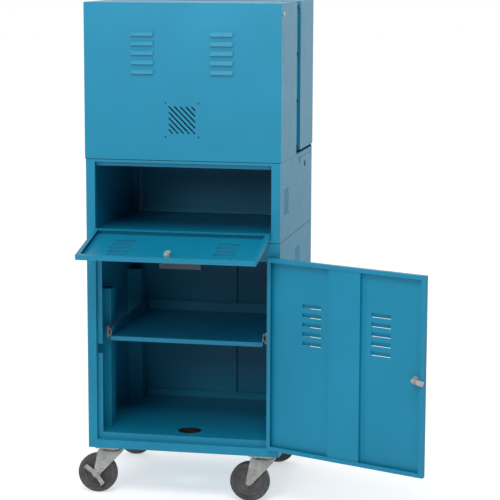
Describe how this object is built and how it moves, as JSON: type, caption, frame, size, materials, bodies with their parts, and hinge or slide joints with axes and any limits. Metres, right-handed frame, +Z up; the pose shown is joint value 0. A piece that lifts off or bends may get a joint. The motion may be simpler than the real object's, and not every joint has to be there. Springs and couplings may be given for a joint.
{
  "type": "mobile lockable equipment cabinet",
  "caption": "Tall blue steel cabinet on swivel casters: a lower bay with a sliding tray and louvered doors, a keyboard bay with drop-down flaps and a vented hood with a window door.",
  "frame": {"origin": "on the ground under the middle of the cabinet", "axes": "+Z up, the service side with the louvered doors faces -Y, +X to the right seen from that side"},
  "size_m": [1.153, 0.8304, 1.578],
  "materials": {
    "paint": "satin blue powder coat",
    "zinc": "bright zinc plate",
    "dark_steel": "black oxide",
    "wheel_rubber": "matt dark grey rubber",
    "clear_pane": "clear",
    "label": "matt light grey"
  },
  "bodies": {
    "cabinet": {"lower_side_left": "paint", "lower_side_right": "paint", "base_pan": "paint", "caster_brackets": "paint", "lower_deck": "paint", "uprights": "paint", "middle_side_left": "paint", "middle_side_right": "paint", "middle_floor": "paint", "middle_deck": "paint", "hood_rear_shell": "paint", "hood_collar": "paint", "hood_front_box": "paint", "collar_bolts": "dark_steel", "hood_lock": "zinc", "hinge_frame_leaves": "paint", "hinge_pins": "zinc", "slide_outer": "zinc", "caster_plates": "zinc", "caster_bolts": "zinc"},
    "service_door": {"lower_door": "paint", "lower_door_stiffener": "paint", "lower_door_leaf": "paint", "lower_lock": "zinc"},
    "service_door_cam": {"lower_cam": "zinc"},
    "service_flap": {"drop_door": "paint", "drop_door_leaf": "paint", "drop_lock": "zinc"},
    "service_flap_cam": {"drop_cam": "zinc"},
    "user_door": {"front_door": "paint", "front_door_stiffener": "paint", "front_door_leaf": "paint", "front_lock": "zinc", "label_plate": "label"},
    "user_door_cam": {"front_cam": "zinc"},
    "keyboard_flap": {"keyboard_door": "paint", "keyboard_door_leaf": "paint", "keyboard_lock": "zinc"},
    "keyboard_flap_cam": {"keyboard_cam": "zinc"},
    "window": {"window_door": "paint", "window_pane": "clear_pane", "window_door_leaf": "paint", "window_lock": "zinc"},
    "window_turn": {"window_cam": "zinc"},
    "tray_unit": {"tray": "paint", "slide_inner": "zinc"},
    "slide_members": {"slide_middle": "zinc"},
    "caster_1": {"fork_1": "zinc", "axle_1": "zinc"},
    "roller_1": {"wheel_1": "wheel_rubber"},
    "caster_2": {"fork_2": "zinc", "axle_2": "zinc"},
    "roller_2": {"wheel_2": "wheel_rubber"},
    "caster_3": {"fork_3": "zinc", "axle_3": "zinc"},
    "roller_3": {"wheel_3": "wheel_rubber"},
    "caster_4": {"fork_4": "zinc", "axle_4": "zinc"},
    "roller_4": {"wheel_4": "wheel_rubber"},
    "brake": {"brake_lever": "zinc"}
  },
  "joints": [
    {"name": "service_door_hinge", "type": "hinge", "parent": "cabinet", "child": "service_door", "pos_m": [0.28125, -0.2895, 0.492], "axis": [0, 0, 1], "range_deg": [-156.5, 8.5]},
    {"name": "service_door_lock", "type": "hinge", "parent": "service_door", "child": "service_door_cam", "pos_m": [0.76752, -0.50094, 0.48], "axis": [-0.3987, -0.9171, 0], "range_deg": [0, 60]},
    {"name": "service_flap_hinge", "type": "hinge", "parent": "cabinet", "child": "service_flap", "pos_m": [0, -0.2895, 0.85225], "axis": [1, 0, 0], "range_deg": [-103, 0]},
    {"name": "service_flap_lock", "type": "hinge", "parent": "service_flap", "child": "service_flap_cam", "pos_m": [0, -0.48803, 0.80642], "axis": [0, -0.225, 0.9744], "range_deg": [-180, 0]},
    {"name": "user_door_hinge", "type": "hinge", "parent": "cabinet", "child": "user_door", "pos_m": [-0.28125, 0.2895, 0.492], "axis": [0, 0, 1], "range_deg": [0, 120]},
    {"name": "user_door_lock", "type": "hinge", "parent": "user_door", "child": "user_door_cam", "pos_m": [0.249, 0.2895, 0.48], "axis": [0, -1, 0], "range_deg": [0, 90]},
    {"name": "keyboard_flap_hinge", "type": "hinge", "parent": "cabinet", "child": "keyboard_flap", "pos_m": [0, 0.2895, 0.85225], "axis": [-1, 0, 0], "range_deg": [0, 103]},
    {"name": "keyboard_flap_lock", "type": "hinge", "parent": "keyboard_flap", "child": "keyboard_flap_cam", "pos_m": [0, 0.2895, 1.056], "axis": [0, -1, 0], "range_deg": [-90, 0]},
    {"name": "window_hinge", "type": "hinge", "parent": "cabinet", "child": "window", "pos_m": [-0.28125, 0.2895, 1.3385], "axis": [0, 0, 1], "range_deg": [0, 120]},
    {"name": "window_lock_turn", "type": "hinge", "parent": "window", "child": "window_turn", "pos_m": [0.257, 0.2895, 1.3385], "axis": [0, -1, 0], "range_deg": [0, 90]},
    {"name": "tray_travel", "type": "slide", "parent": "cabinet", "child": "tray_unit", "axis": [0, -1, 0], "range_m": [0, 0.35]},
    {"name": "slide_member_travel", "type": "slide", "parent": "cabinet", "child": "slide_members", "axis": [0, -1, 0], "range_m": [0, 0.175]},
    {"name": "swivel_1", "type": "hinge", "parent": "cabinet", "child": "caster_1", "pos_m": [-0.2515, -0.238, 0.143], "axis": [0, 0, 1], "continuous": true},
    {"name": "roll_1", "type": "hinge", "parent": "caster_1", "child": "roller_1", "pos_m": [-0.294, -0.238, 0.0635], "axis": [0, 1, 0], "continuous": true},
    {"name": "swivel_2", "type": "hinge", "parent": "cabinet", "child": "caster_2", "pos_m": [0.2515, -0.238, 0.143], "axis": [0, 0, 1], "continuous": true},
    {"name": "roll_2", "type": "hinge", "parent": "caster_2", "child": "roller_2", "pos_m": [0.209, -0.238, 0.0635], "axis": [0, 1, 0], "continuous": true},
    {"name": "swivel_3", "type": "hinge", "parent": "cabinet", "child": "caster_3", "pos_m": [-0.2515, 0.238, 0.143], "axis": [0, 0, 1], "continuous": true},
    {"name": "roll_3", "type": "hinge", "parent": "caster_3", "child": "roller_3", "pos_m": [-0.294, 0.238, 0.0635], "axis": [0, 1, 0], "continuous": true},
    {"name": "swivel_4", "type": "hinge", "parent": "cabinet", "child": "caster_4", "pos_m": [0.2515, 0.238, 0.143], "axis": [0, 0, 1], "continuous": true},
    {"name": "roll_4", "type": "hinge", "parent": "caster_4", "child": "roller_4", "pos_m": [0.209, 0.238, 0.0635], "axis": [0, 1, 0], "continuous": true},
    {"name": "brake_rock", "type": "hinge", "parent": "caster_1", "child": "brake", "pos_m": [-0.294, -0.238, 0.0635], "axis": [0, 1, 0], "range_deg": [0, 18]}
  ],
  "couplings": [
    {"joint": "slide_member_travel", "follows": "tray_travel", "ratio": 0.5}
  ]
}
